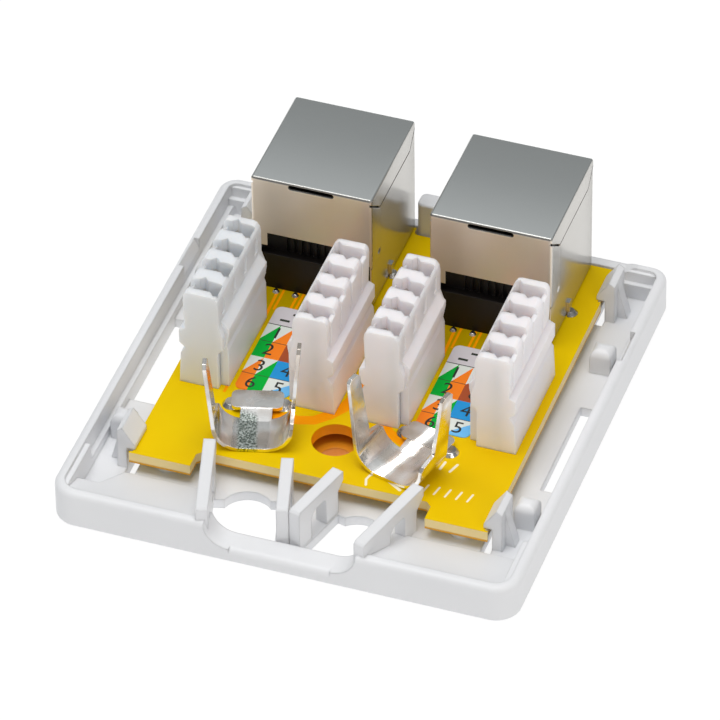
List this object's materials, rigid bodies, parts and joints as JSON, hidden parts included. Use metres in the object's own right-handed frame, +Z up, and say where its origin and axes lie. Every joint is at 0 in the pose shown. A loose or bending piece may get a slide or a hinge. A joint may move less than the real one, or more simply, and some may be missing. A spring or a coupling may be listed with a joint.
{
  "type": "surface mount jack box",
  "caption": "Open surface mount wall box with shielded modular jacks, insulation displacement terminal blocks and cable shield clamps on a yellow circuit board.",
  "frame": {"origin": "centre of the tray's underside", "axes": "+Z up from the wall side, +Y towards the sockets' openings, +X to the right"},
  "size_m": [0.0608, 0.0648, 0.0224],
  "materials": {
    "white_plastic": "satin moulded, white",
    "block_white": "satin moulded, white",
    "board_yellow": "glossy yellow solder mask",
    "shield_steel": "satin nickel-plated sheet",
    "black_plastic": "matte black moulded",
    "gold_plate": "gold-plated spring wire",
    "tinned_steel": "bright tinned sheet",
    "tinned_contact": "tinned bronze",
    "solder": "bright solder",
    "label_print": "printed sticker"
  },
  "bodies": {
    "root": {"base_tray": "white_plastic", "circuit_board": "board_yellow", "jack_contacts_left": "gold_plate", "jack_contacts_right": "gold_plate", "jack_housing_left": "black_plastic", "jack_housing_right": "black_plastic", "jack_insert_left": "black_plastic", "jack_insert_right": "black_plastic", "jack_shield_left": "shield_steel", "jack_shield_right": "shield_steel", "shield_clamp_left": "tinned_steel", "shield_clamp_right": "tinned_steel", "solder_joints": "solder", "terminal_block_1": "block_white", "terminal_block_2": "block_white", "terminal_block_3": "block_white", "terminal_block_4": "block_white", "terminal_contacts_1": "tinned_contact", "terminal_contacts_2": "tinned_contact", "terminal_contacts_3": "tinned_contact", "terminal_contacts_4": "tinned_contact", "wiring_label_left": "label_print", "wiring_label_right": "label_print"}
  },
  "joints": []
}
